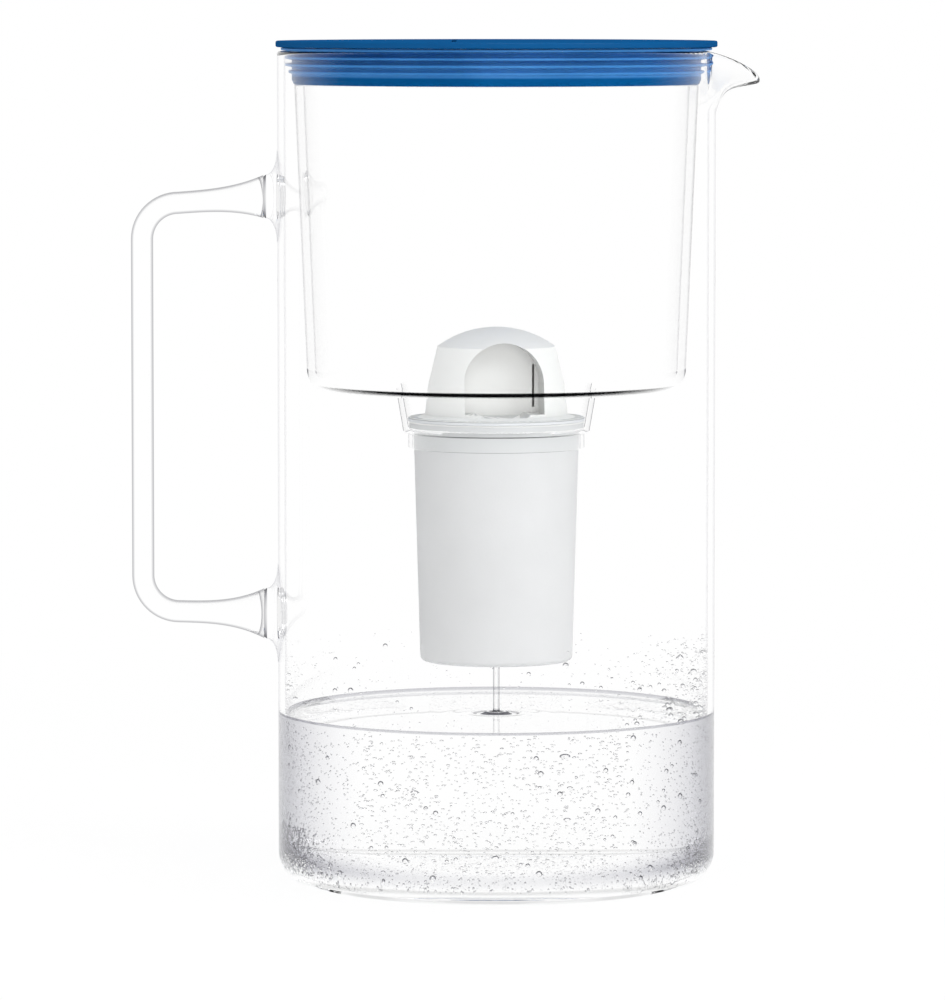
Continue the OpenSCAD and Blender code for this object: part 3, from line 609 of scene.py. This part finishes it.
# Moulded plastic: an even colour with faint flow marks, slightly waxy, a fine texture breaks up its gloss.
def plasticMaterial(name, tones, rough, ior, grain, depth, soft=0.0, gloss=0.04, passThroughAndPaintedGlow=0.0):
    mat, tree = newMaterial(name)
    coord = addNode(tree, "TexCoord")
    flow = addNode(tree, "TexNoise", links={"Scale": 30.0, "Detail": 4.0, "Vector": (coord, "Object")})
    tone = addNode(tree, "ValToRGB", links={"Fac": (flow, "Fac")})
    setRamp(tone, [(0.3, toLinear(tones[0])), (0.7, toLinear(tones[1]))])
    texture = addNode(tree, "TexNoise", links={"Scale": grain, "Detail": 3.0, "Vector": (coord, "Object")})
    bump = addNode(tree, "Bump", links={"Strength": depth, "Distance": 0.2 * mm, "Height": (texture, "Fac")})
    satin = addNode(tree, "MapRange", links={
        "Value": (texture, "Fac"), "To Min": rough[0], "To Max": rough[1]})
    body = addNode(tree, "BsdfPrincipled", links={
        "Base Color": (tone, "Color"), "Roughness": (satin, "Result"), "Normal": (bump, "Normal"),
        "IOR": ior, "Specular IOR Level": 0.0, "Emission Color": toLinear("#fffdfa"),
        "Subsurface Weight": soft, "Subsurface Scale": 2 * mm, "Subsurface Radius": (1.0, 1.0, 1.0)})
    if passThroughAndPaintedGlow:  # a painted glow: emission on the outer faces stands in for light through a thin white wall, and painted shade dims it in narrow places
        openness = addNode(tree, "AmbientOcclusion", {"only_local": True, "samples": 8}, {"Distance": 3 * mm})
        level = addNode(tree, "VectorMath", {"operation": "MULTIPLY"}, {0: (coord, "Object"), 1: (1, 1, 0)})
        out = addNode(tree, "VectorMath", {"operation": "DOT_PRODUCT"}, {0: (level, 0), 1: (coord, "Normal")})
        outer = addNode(tree, "Math", {"operation": "GREATER_THAN"}, {0: (out, "Value"), 1: 0.0})
        share = addNode(tree, "Math", {"operation": "MULTIPLY"}, {0: (openness, "AO"), 1: (outer, 0)})
        glow = addNode(tree, "Math", {"operation": "MULTIPLY"}, {0: (share, 0), 1: passThroughAndPaintedGlow})
        tree.links.new(glow.outputs[0], body.inputs["Emission Strength"])
    shine = addNode(tree, "BsdfGlossy", links={"Roughness": (satin, "Result"), "Normal": (bump, "Normal")})
    skin = addNode(tree, "MixShader", links={  # an even share of gloss, with no glare at the rim
        "Fac": gloss, 1: (body, 0), 2: (shine, 0)})
    addNode(tree, "OutputMaterial", links={"Surface": (skin, 0)})
    return mat


def metalMaterial(name, colour, roughMin, roughMax, stretch):  # stretch draws the polishing marks out
    mat, tree = newMaterial(name)
    coord = addNode(tree, "TexCoord")
    scaled = addNode(tree, "Mapping", links={"Vector": (coord, "Object"), "Scale": stretch})
    marks = addNode(tree, "TexNoise", links={"Scale": 1.0, "Detail": 3.0, "Vector": (scaled, "Vector")})
    tone = addNode(tree, "ValToRGB", links={"Fac": (marks, "Fac")})
    setRamp(tone, [(0.2, [c * 0.85 for c in toLinear(colour)[:3]] + [1]), (0.8, toLinear(colour))])
    rough = addNode(tree, "MapRange", links={"Value": (marks, "Fac"), "To Min": roughMin, "To Max": roughMax})
    body = addNode(tree, "BsdfPrincipled", links={
        "Base Color": (tone, "Color"), "Roughness": (rough, "Result"), "Metallic": 1.0})
    addNode(tree, "OutputMaterial", links={"Surface": (body, 0)})
    return mat


# Activated carbon and ion exchange resin: black grit and amber beads, about 0.7 mm a grain.
def grainsMaterial():
    mat, tree = newMaterial("carbon and resin grains")
    coord = addNode(tree, "TexCoord")
    cells = addNode(tree, "TexVoronoi", links={"Scale": 1400.0, "Vector": (coord, "Object")})
    pick = addNode(tree, "ValToRGB", links={"Fac": (cells, "Color")})
    setRamp(pick, [(0.45, toLinear("#141415")), (0.6, toLinear("#9a6a2c"))])
    bump = addNode(tree, "Bump", {"invert": True}, {
        "Strength": 0.8, "Distance": 0.4 * mm, "Height": (cells, "Distance")})
    body = addNode(tree, "BsdfPrincipled", links={
        "Base Color": (pick, "Color"), "Roughness": 0.55, "Normal": (bump, "Normal")})
    addNode(tree, "OutputMaterial", links={"Surface": (body, 0)})
    return mat


# Needled polyester fleece: matted white fibres with a soft nap.
def fleeceMaterial():
    mat, tree = newMaterial("polyester fleece, needled")
    coord = addNode(tree, "TexCoord")
    fibres = addNode(tree, "TexNoise", links={
        "Scale": 1100.0, "Detail": 6.0, "Distortion": 2.5, "Vector": (coord, "Object")})
    tone = addNode(tree, "ValToRGB", links={"Fac": (fibres, "Fac")})
    setRamp(tone, [(0.3, toLinear("#cfcfcb")), (0.7, toLinear("#f2f2ef"))])
    bump = addNode(tree, "Bump", links={"Strength": 0.7, "Distance": 0.5 * mm, "Height": (fibres, "Fac")})
    body = addNode(tree, "BsdfPrincipled", links={
        "Base Color": (tone, "Color"), "Roughness": 0.95, "Normal": (bump, "Normal"), "Sheen Weight": 0.3})
    addNode(tree, "OutputMaterial", links={"Surface": (body, 0)})
    return mat


# Epoxy laminate under green solder mask, with faint copper tracks.
def boardMaterial():
    mat, tree = newMaterial("epoxy laminate, green mask")
    coord = addNode(tree, "TexCoord")
    tracks = addNode(tree, "TexBrick", links={
        "Scale": 260.0, "Mortar Size": 0.06, "Vector": (coord, "Object"),
        "Color1": toLinear("#0f5a2c"), "Color2": toLinear("#13633a"), "Mortar": toLinear("#4f8a52")})
    body = addNode(tree, "BsdfPrincipled", links={"Base Color": (tracks, "Color"), "Roughness": 0.35})
    addNode(tree, "OutputMaterial", links={"Surface": (body, 0)})
    return mat


# name, two tones, roughness from and to, IOR, texture marks per metre and their depth, scatter inside
lidBlue = plasticMaterial(  # deep and even, with little gloss
    "polypropylene, moulded blue", ("#034a80", "#055087"), (0.25, 0.38), 1.49, 1500, 0.06, gloss=0.008)
cupWhite = plasticMaterial(  # a cool white, with a little painted glow
    "polypropylene, moulded white", ("#cfcfd0", "#d5d5d6"), (0.38, 0.52), 1.49, 1300, 0.12, 0.1, passThroughAndPaintedGlow=0.05)
capWhite = plasticMaterial(  # a warmer white, with more painted glow on the dome
    "polypropylene, bright white", ("#d6d6d5", "#dcdcdb"), (0.38, 0.52), 1.49, 1300, 0.12, 0.1, passThroughAndPaintedGlow=0.22)
housingWhite = plasticMaterial(
    "ABS, moulded white", ("#dfe1e4", "#e8eaec"), (0.35, 0.5), 1.54, 1500, 0.15)
buttonWhite = plasticMaterial(  # cloudy, light scatters inside it
    "polycarbonate, frosted", ("#e4ebf0", "#eef4f8"), (0.3, 0.45), 1.58, 1800, 0.2, 0.3)
softWhite = plasticMaterial(
    "thermoplastic elastomer, white", ("#dedee1", "#e6e6e8"), (0.5, 0.65), 1.5, 1500, 0.2)
gasketBlack = plasticMaterial(
    "nitrile rubber", ("#17171a", "#202023"), (0.55, 0.75), 1.52, 1500, 0.25)
ledClear = plasticMaterial(
    "epoxy resin, clear over phosphor", ("#e8d98a", "#f2e9b0"), (0.1, 0.2), 1.54, 1800, 0.05, 0.2)
pinSteel = metalMaterial("stainless steel, ground", "#b9babc", 0.18, 0.32, (2000, 40, 2000))
stampedSteel = metalMaterial("stainless steel, stamped", "#c8c9ca", 0.15, 0.3, (300, 300, 300))
cellSteel = metalMaterial("nickel-plated steel, drawn", "#c2c0bb", 0.2, 0.35, (60, 60, 900))

dress = {
    "lid": lidBlue, "flip_lid": lidBlue, "hinge_pins": pinSteel, "indicator_housing": housingWhite,
    "indicator_cover": housingWhite, "indicator_gasket": gasketBlack, "indicator_button": buttonWhite,
    "indicator_board": boardMaterial(), "indicator_led": ledClear,
    "switch_dome": stampedSteel, "coin_cell": cellSteel,
    "cartridge_cup": cupWhite, "cartridge_cap": capWhite, "cartridge_seal": softWhite,
    "inlet_mesh": housingWhite, "outlet_fleece": fleeceMaterial(), "filter_media": grainsMaterial(),
}
for name, mat in dress.items():
    nodes[name].data.materials.clear()
    nodes[name].data.materials.append(mat)
softEdges = {  # width in mm
    "lid": 0.25, "flip_lid": 0.25, "cartridge_cup": 0.2, "cartridge_cap": 0.25,
    "indicator_housing": 0.2, "indicator_button": 0.2,
}
for name, width in softEdges.items():  # moulded edges are never quite sharp
    bevel = nodes[name].modifiers.new("soft edge", "BEVEL")
    bevel.width = width * mm
    bevel.segments = 2
    bevel.limit_method = "ANGLE"
    bevel.angle_limit = math.radians(40)
    bevel.harden_normals = False
print("materials set")


# Water

# Filtered water: nearly colourless; painted shade gives it a faint violet grey where its surface turns away,
# for the light the jug's sides bend.
def waterMaterial(name, ior, stops=None, lean=0.0, steep=None):
    mat, tree = newMaterial(name)
    facing = addNode(tree, "LayerWeight", links={"Blend": 0.5})
    shape = addNode(tree, "NewGeometry")
    up = addNode(tree, "SeparateXYZ", links={"Vector": (shape, "Normal")})
    tone = (facing, "Facing")
    if lean:  # painted shade: the upper side of a bead is darkened as a crescent, where it would show the dark above
        top = addNode(tree, "Math", {"operation": "MULTIPLY_ADD"}, {0: (up, "Z"), 1: lean, 2: 1.0 - lean})
        front = addNode(tree, "Math", {"operation": "SUBTRACT"}, {0: 1.0, 1: (shape, "Backfacing")})
        front = addNode(tree, "Math", {"operation": "MULTIPLY"}, {0: (front, 0), 1: (top, 0)})
        tone = (addNode(tree, "Math", {"operation": "MULTIPLY"}, {0: (facing, "Facing"), 1: (front, 0)}), 0)
    if steep:  # ripples and the meniscus: painted shade, the steeper, the darker
        tone = (addNode(tree, "Math", {"operation": "ABSOLUTE"}, {0: (up, "Z")}), 0)
    # painted shade: the water greys by facing or steepness
    edge = addNode(tree, "ValToRGB", links={"Fac": tone})
    setRamp(edge, [(p, toLinear(c)) for p, c in steep or stops])
    bent = addNode(tree, "BsdfRefraction", links={"Color": (edge, "Color"), "Roughness": 0.0, "IOR": ior})
    mirror = addNode(tree, "BsdfGlossy", links={"Color": (edge, "Color"), "Roughness": 0.0})
    fresnel = addNode(tree, "Fresnel", links={"IOR": ior})
    body = addNode(tree, "MixShader", links={"Fac": (fresnel, "Fac"), 1: (bent, 0), 2: (mirror, 0)})
    letLightThrough(tree, body, [1, 1, 1, 1])
    return mat


water = {  # sizes in mm, then the mesh's own counts
    "level": jug["waterLine"], "meniscus": 1.2, "creep": 0.9, "meniscusWidth": 3.0,
    "ripple": 1.05, "rippleLength": 5.5, "rippleFade": 5.0, "dimple": 0.8, "stream": 0.95,
    "rings": 170, "columns": 160,
}


def buildSurface():  # the water's top, with rings where the stream falls in and a meniscus at the glass
    bore = jug["radius"] - jug["wall"] - 0.01
    rings, columns = water["rings"], water["columns"]
    angles = [2 * math.pi * j / columns for j in range(columns)]
    points = [(0, 0, (water["level"] - water["dimple"]) * mm)]
    for i in range(1, rings + 1):
        r = bore * (i / rings) ** 1.4
        wave = water["ripple"] * math.cos(2 * math.pi * r / water["rippleLength"])
        z = water["level"] - wave * math.exp(-r / water["rippleFade"])
        z += water["meniscus"] * math.exp(-(bore - r) / water["creep"])
        points += [(r * math.cos(a) * mm, r * math.sin(a) * mm, z * mm) for a in angles]
    faces = [(0, 1 + j, 1 + (j + 1) % columns) for j in range(columns)]
    for i in range(rings - 1):
        a, b = 1 + i * columns, 1 + (i + 1) * columns
        faces += [(a + j, b + j, b + (j + 1) % columns, a + (j + 1) % columns) for j in range(columns)]
    obj = meshObject("water_surface", points, faces)
    obj.data.materials.append(waterMaterial(
        "water, ripples", 1.333, steep=[(0.80, "#3a3a40"), (0.93, "#8c8c92"), (0.985, "#ffffff")]))
    obj.data.materials.append(waterMaterial(
        "water, meniscus", 1.06, steep=[(0.60, "#c0c0c5"), (0.93, "#e2e2e5"), (0.985, "#ffffff")]))
    for poly in obj.data.polygons:
        out = math.hypot(poly.center.x, poly.center.y)
        poly.material_index = 1 if out > (bore - water["meniscusWidth"]) * mm else 0
    return obj


def buildStream():
    bottom, top = water["level"] - 0.6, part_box("cartridge_cup")[0].z / mm
    rows = []
    for i in range(40):
        z = bottom + (top - bottom) * i / 39
        rows.append((water["stream"] * (1 + 1.6 * math.exp(-(z - bottom) / 0.5)), z))
    obj = turned("water_stream", rows, 32, closed=False, sharpAngle=None)
    obj.data.materials.append(waterMaterial(
        "water, falling", 1.333, [(0.0, "#ffffff"), (0.5, "#dcdcde"), (0.9, "#3a3a3e")]))
    return obj


def buildBeads(name, spots, across, down, mat):  # round beads, spots: (x, y, z, radius) in mm
    angles = [2 * math.pi * j / across for j in range(across)]
    ring = []
    for i in range(1, down):
        t = math.pi * i / down
        ring += [(math.sin(t) * math.cos(a), math.sin(t) * math.sin(a), math.cos(t)) for a in angles]
    unit = np.array([(0, 0, 1)] + ring + [(0, 0, -1)])
    faces = [(0, 1 + j, 1 + (j + 1) % across) for j in range(across)]
    for i in range(down - 2):
        a, b = 1 + i * across, 1 + (i + 1) * across
        faces += [(a + j, b + j, b + (j + 1) % across, a + (j + 1) % across) for j in range(across)]
    a, tail = 1 + (down - 2) * across, len(unit) - 1
    faces += [(a + j, tail, a + (j + 1) % across) for j in range(across)]
    allPoints, allFaces = [], []
    for k, (x, y, z, r) in enumerate(spots):
        allPoints.append(unit * r * mm + np.array([x, y, z]) * mm)
        allFaces += [tuple(v + k * len(unit) for v in f) for f in faces]
    obj = meshObject(name, np.concatenate(allPoints), allFaces)
    obj.data.materials.append(mat)
    return obj


def wallSpots(count, low, high, small, large, clump):  # a high clump gives few large beads
    spots = []
    bore = jug["radius"] - jug["wall"]
    corner = jug["floorCorner"]
    floorTop = jug["base"] + corner
    while len(spots) < count:
        a = random.uniform(0, 2 * math.pi)
        z = low + (high - low) * random.random() ** 1.15
        r = small + (large - small) * random.random() ** clump
        reach = bore
        if z < floorTop:  # down in the rounded corner
            reach = bore - corner + math.sqrt(max(corner ** 2 - (floorTop - z) ** 2, 0))
        out = reach - r * 1.05
        spots.append((out * math.cos(a), out * math.sin(a), z, r))
    return spots


def floorSpots(count, small, large):
    spots = []
    for _ in range(count):
        a, reach = random.uniform(0, 2 * math.pi), 53 * math.sqrt(random.random())
        r = small + (large - small) * random.random() ** 3
        spots.append((reach * math.cos(a), reach * math.sin(a), jug["base"] + r * 1.05, r))
    return spots


def arcSpots(count, middle, spread, low, high, small, large, clump):  # a cluster on one side of the wall
    spots = []
    for x, y, z, r in wallSpots(count, low, high, small, large, clump):
        out = math.hypot(x, y)
        a = math.radians(random.gauss(middle, spread))
        spots.append((out * math.cos(a), out * math.sin(a), z, r))
    return spots


# painted shade: dark rims and crescents on the beads
beadTone = [(0.06, "#ffffff"), (0.16, "#c0c0c4"), (0.36, "#6a6a70"), (0.80, "#1c1c20")]
bubbleAir = waterMaterial("air bubble in water", 0.75, beadTone, lean=0.72)
dropWater = waterMaterial("water drop on glass", 1.333, beadTone, lean=0.72)
line = water["level"]
tinyUnder = (
    wallSpots(5600, 4.8, line - 0.5, 0.14, 0.33, 1.3) + floorSpots(700, 0.12, 0.3)
    + arcSpots(1100, 199, 8, 6, 19, 0.18, 0.45, 1.0) + arcSpots(420, -19, 8, 6, 16, 0.18, 0.42, 1.0)
    + arcSpots(420, 206, 9, 8, line - 1, 0.14, 0.34, 1.0)
    + arcSpots(260, -24, 9, 8, line - 1, 0.14, 0.34, 1.0))
largeUnder = (
    wallSpots(110, 7, line - 1, 0.45, 1.0, 1.3) + floorSpots(30, 0.4, 0.9)
    + arcSpots(26, 200, 8, 7, 14, 0.4, 0.8, 1.0) + arcSpots(18, -40, 25, 25, line - 3, 0.5, 0.95, 1.0))
# the jug's round would stretch these
tinyUnder = [s for s in tinyUnder if s[1] < 0 or not 21 < abs(s[0]) < 28]
largeUnder = [s for s in largeUnder if s[1] < 0 or not 17 < abs(s[0]) < 32]
tinyOver = (
    wallSpots(420, line + 1, line + 20, 0.1, 0.25, 1.5)
    + arcSpots(420, -28, 16, line + 1, line + 26, 0.12, 0.3, 1.2))
largeOver = (
    wallSpots(34, line + 1.5, line + 16, 0.4, 0.85, 1.2)
    + arcSpots(34, -30, 18, line + 1, line + 24, 0.45, 0.9, 1.2))
contents = [
    buildSurface(), buildStream(),
    buildBeads("bubbles_small", tinyUnder, 8, 6, bubbleAir),
    buildBeads("bubbles_large", largeUnder, 16, 10, bubbleAir),
    buildBeads("drops_small", tinyOver, 8, 6, dropWater),
    buildBeads("drops_large", largeOver, 16, 10, dropWater)]
print("water poured")


# Floor, background and light

floor = meshObject("floor", [(-6, -6, 0), (6, -6, 0), (6, 6, 0), (-6, 6, 0)], [(0, 1, 2, 3)], smooth=False)
floor.location.z = -0.0002
mat, tree = newMaterial("white card, matt")
path = addNode(tree, "LightPath")
seen = addNode(tree, "Math", {"operation": "MAXIMUM"},
               {0: (path, "Is Camera Ray"), 1: (path, "Is Glossy Ray")})
seen = addNode(tree, "Math", {"operation": "MAXIMUM"}, {0: (seen, 0), 1: (path, "Is Transmission Ray")})
place = addNode(tree, "VectorMath", {"operation": "LENGTH"}, {0: (addNode(tree, "TexCoord"), "Object")})
fade = addNode(tree, "MapRange", links={  # the shadow shows near the jug, and fades into the backdrop
    "Value": (place, "Value"), "From Min": 0.15, "From Max": 0.7, "To Min": 0.88, "To Max": 1.0})
share = addNode(tree, "Math", {"operation": "MULTIPLY"}, {0: (seen, 0), 1: (fade, "Result")})
card = addNode(tree, "BsdfDiffuse", links={"Color": toLinear("#f8f8f8")})
white = addNode(tree, "Emission", links={"Color": [1, 1, 1, 1], "Strength": 1.0})
mix = addNode(tree, "MixShader", links={"Fac": (share, 0), 1: (card, 0), 2: (white, 0)})
addNode(tree, "OutputMaterial", links={"Surface": (mix, 0)})
floor.data.materials.append(mat)

world = bpy.data.worlds.new("studio")
scene.world = world
world.use_nodes = True
tree = world.node_tree
tree.nodes.clear()
path = addNode(tree, "LightPath")
direction = addNode(tree, "SeparateXYZ", links={"Vector": (addNode(tree, "TexCoord"), "Generated")})
heightRamp = addNode(tree, "ValToRGB", links={"Fac": (direction, "Z")})
setRamp(heightRamp, [(0.0, 1.0), (0.30, 1.0), (0.62, 0.30), (1.0, 0.22)])  # white walls, a darker ceiling
glow = addNode(tree, "Background", links={"Color": [1, 1, 1, 1], "Strength": 0.72})
mirrored = addNode(tree, "Background", links={"Color": (heightRamp, "Color"), "Strength": 1.0})
backdrop = addNode(tree, "Background", links={"Color": [1, 1, 1, 1], "Strength": 1.0})
straight = addNode(tree, "Math", {"operation": "MAXIMUM"},
                   {0: (path, "Is Camera Ray"), 1: (path, "Is Transmission Ray")})
first = addNode(tree, "MixShader", links={"Fac": (path, "Is Glossy Ray"), 1: (glow, 0), 2: (mirrored, 0)})
second = addNode(tree, "MixShader", links={"Fac": (straight, 0), 1: (first, 0), 2: (backdrop, 0)})
addNode(tree, "OutputWorld", links={"Surface": (second, 0)})

lamps = {  # name: place, size in m, watts
    "softbox right": ((1.3, -1.1, 0.9), 0.9, 9.0),
    "softbox front": ((0.2, -1.7, 1.25), 0.9, 8.0),
    "softbox top": ((0.1, -0.2, 1.7), 1.2, 8.0),
}
for name, (place, size, power) in lamps.items():
    data = bpy.data.lights.new(name, "AREA")
    data.shape = "DISK"
    data.size = size
    data.energy = power
    lamp = bpy.data.objects.new(name, data)
    lamp.location = place
    lamp.rotation_euler = (Vector((0, 0, 0.13)) - Vector(place)).to_track_quat("-Z", "Y").to_euler()
    scene.collection.objects.link(lamp)

scene.view_settings.view_transform = "Standard"
scene.cycles.max_bounces = 64
scene.cycles.transmission_bounces = 64
scene.cycles.transparent_max_bounces = 32
scene.cycles.glossy_bounces = 64
scene.cycles.caustics_reflective = False
scene.cycles.caustics_refractive = False
print("lit")
